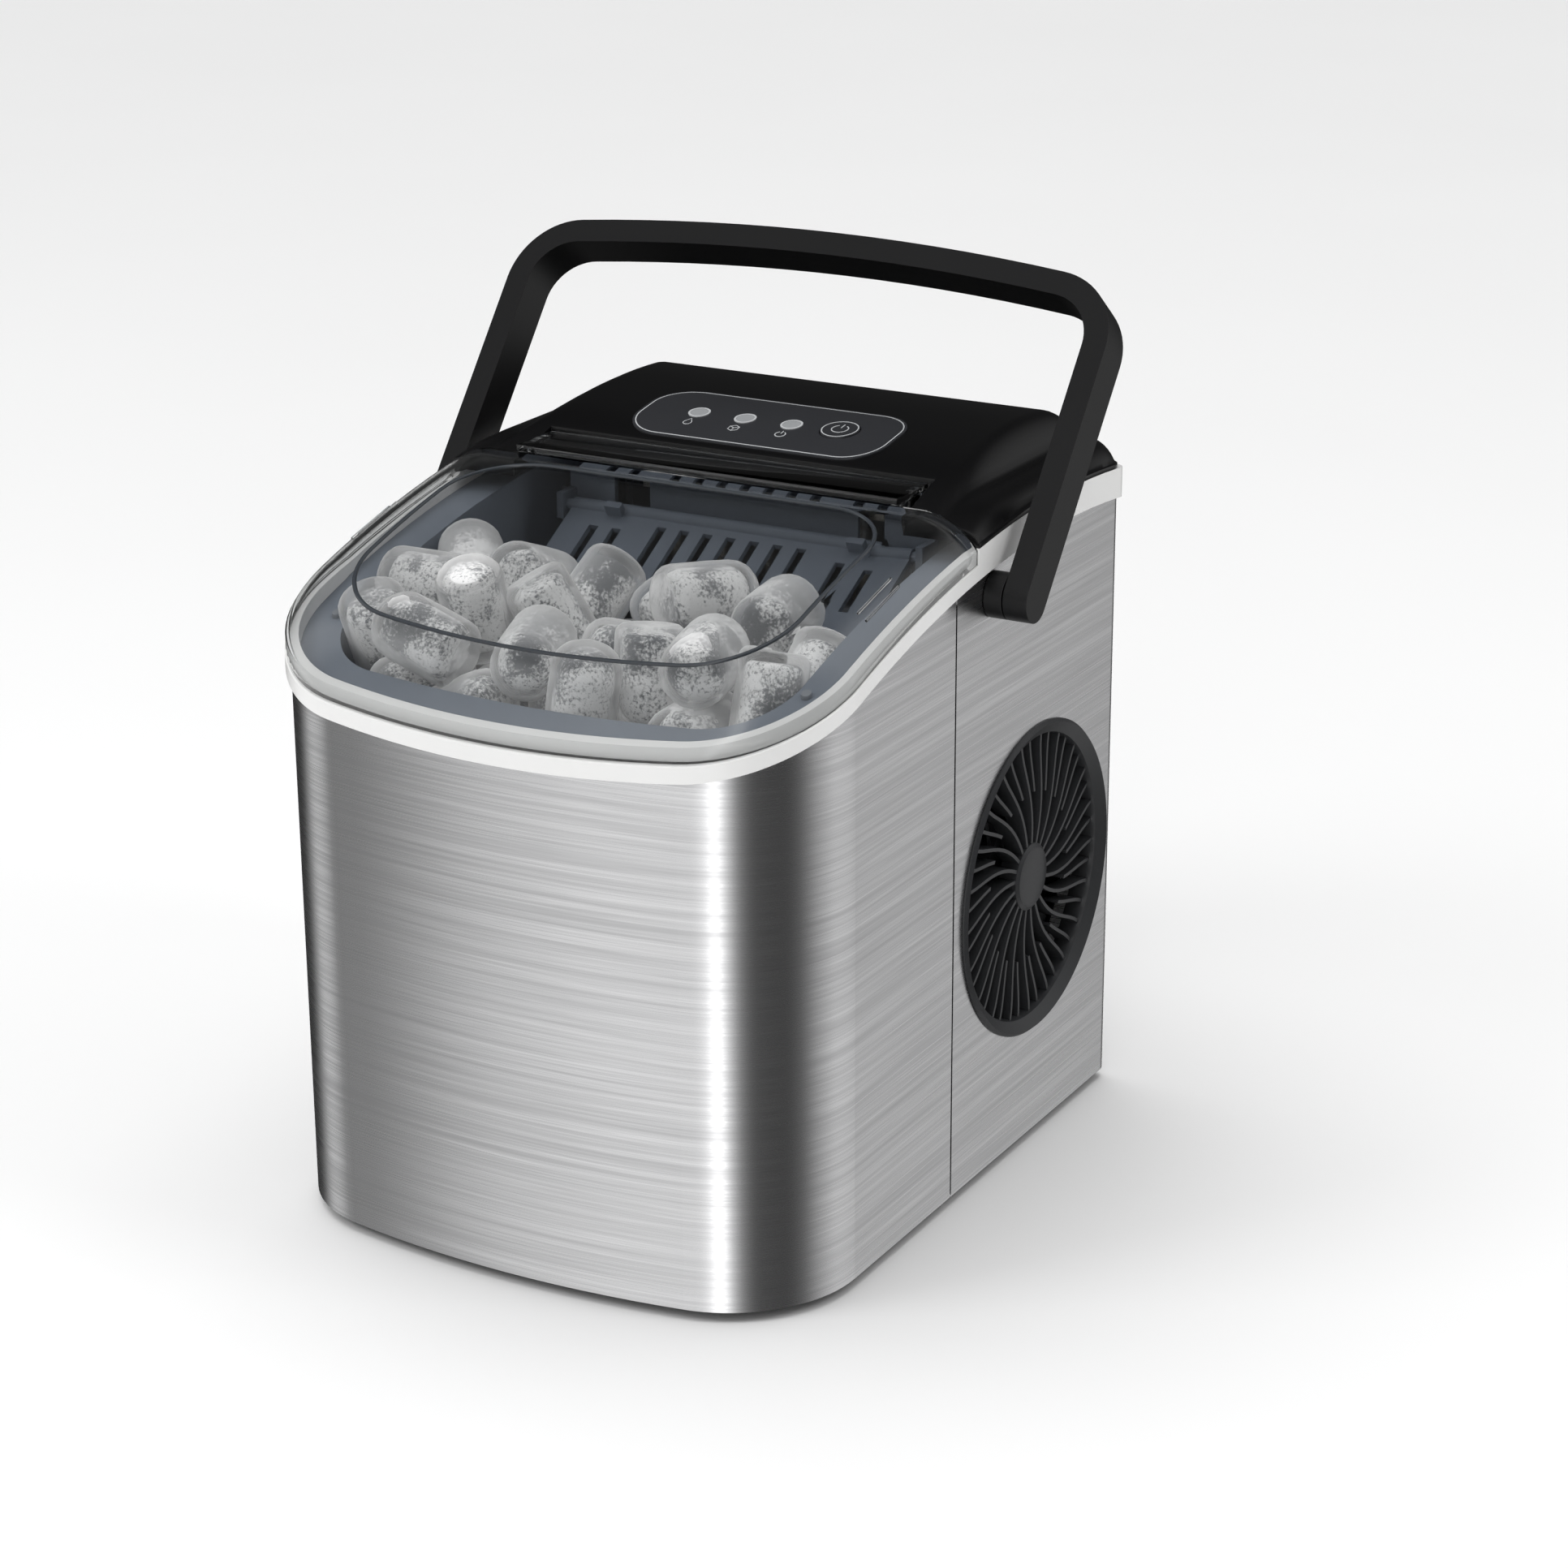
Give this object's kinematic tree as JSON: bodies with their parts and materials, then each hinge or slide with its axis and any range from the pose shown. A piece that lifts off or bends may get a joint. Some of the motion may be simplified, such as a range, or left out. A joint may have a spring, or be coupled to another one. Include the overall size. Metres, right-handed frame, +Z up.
{
  "type": "countertop ice maker",
  "caption": "Countertop bullet-ice maker with a bowed steel case, clear hinged lid, folding carry handle, round side grille, ice basket and a working ice mechanism.",
  "frame": {"origin": "middle of the footprint at the worktop", "axes": "+Z up, -Y the bowed front, +X the side with the round grille"},
  "size_m": [0.2566, 0.272, 0.337],
  "materials": {
    "black_shell": "satin",
    "steel": "brushed",
    "white_trim": "satin",
    "grille_black": "moulded",
    "overlay": "matte film",
    "lens": "frosted",
    "clear_lid": "clear tinted",
    "pin_steel": "turned",
    "rubber": "matte",
    "gray_rubber": "matte",
    "handle_black": "fine grain",
    "liner_gray": "moulded",
    "foam": "beaded",
    "basket_gray": "moulded",
    "mech_gray": "moulded",
    "mech_light": "moulded",
    "evap_metal": "plated",
    "copper": "drawn copper",
    "aluminium": "mill finish",
    "pcb": "solder mask",
    "motor_metal": "zinc",
    "compressor_black": "gloss enamel",
    "hose_silicone": "translucent",
    "screw_steel": "black zinc"
  },
  "bodies": {
    "case": {"base_tray": "black_shell", "rubber_feet": "rubber", "front_panel": "steel", "rear_panel": "steel", "top_trim": "white_trim", "vent_grille": "grille_black", "top_cover": "black_shell", "control_overlay": "overlay", "indicator_lenses": "lens", "control_board": "pcb", "power_board": "pcb", "lid_bumpers": "gray_rubber", "handle_pivots": "handle_black", "inner_liner": "liner_gray", "insulation_foam": "foam", "mechanism_frame": "mech_gray", "evaporator": "evap_metal", "drip_guard": "mech_light", "shovel_brackets": "mech_light", "tray_bearings": "mech_gray", "tray_motor": "motor_metal", "ice_full_sensors": "mech_gray", "water_level_probe": "pin_steel", "water_pump": "mech_gray", "water_hose": "hose_silicone", "drain_fitting": "white_trim", "compressor": "compressor_black", "compressor_grommets": "rubber", "condenser": "aluminium", "fan_shroud": "black_shell", "fan_motor": "motor_metal", "filter_drier": "copper", "hot_gas_valve": "motor_metal", "refrigerant_pipes": "copper", "cord_gland": "rubber", "panel_screws": "screw_steel"},
    "lid": {"lid": "clear_lid", "lid_hinge_pins": "pin_steel"},
    "handle": {"handle": "handle_black"},
    "power_button": {"power_button": "overlay"},
    "fan": {"fan_shaft": "pin_steel", "fan_blade": "grille_black"},
    "water_tray": {"water_tray": "basket_gray"},
    "ice_shovel": {"ice_shovel": "mech_light"},
    "ice_basket": {"ice_basket": "basket_gray"},
    "drain_plug": {"drain_plug": "rubber"},
    "pump_impeller": {"pump_impeller": "white_trim"}
  },
  "joints": [
    {"name": "lid_hinge", "type": "hinge", "parent": "case", "child": "lid", "pos_m": [0, 0.024, 0.2585], "axis": [-1, 0, 0], "range_deg": [0, 90]},
    {"name": "handle_swing", "type": "hinge", "parent": "case", "child": "handle", "pos_m": [0, 0.0245, 0.23], "axis": [-1, 0, 0], "range_deg": [-38.5, 58]},
    {"name": "power_press", "type": "slide", "parent": "case", "child": "power_button", "axis": [0, 0, -1], "range_m": [0, 0.0006], "stiffness_N_per_m": 400},
    {"name": "tray_tilt", "type": "hinge", "parent": "case", "child": "water_tray", "pos_m": [0, 0.066, 0.222], "axis": [1, 0, 0], "range_deg": [0, 50]},
    {"name": "shovel_sweep", "type": "hinge", "parent": "case", "child": "ice_shovel", "pos_m": [0, 0.036, 0.235], "axis": [1, 0, 0], "range_deg": [0, 20]},
    {"name": "basket_lift", "type": "slide", "parent": "case", "child": "ice_basket", "axis": [0, 0, 1], "range_m": [0, 0.008]},
    {"name": "drain_pull", "type": "slide", "parent": "case", "child": "drain_plug", "axis": [-1, 0, 0], "range_m": [0, 0.011]},
    {"name": "fan_spin", "type": "hinge", "parent": "case", "child": "fan", "pos_m": [0.09, 0.064, 0.108], "axis": [1, 0, 0], "continuous": true},
    {"name": "impeller_spin", "type": "hinge", "parent": "case", "child": "pump_impeller", "pos_m": [-0.084, -0.06, 0.024], "axis": [0, 0, 1], "continuous": true}
  ],
  "couplings": [
    {"joint": "shovel_sweep", "follows": "tray_tilt", "ratio": 0.4}
  ]
}
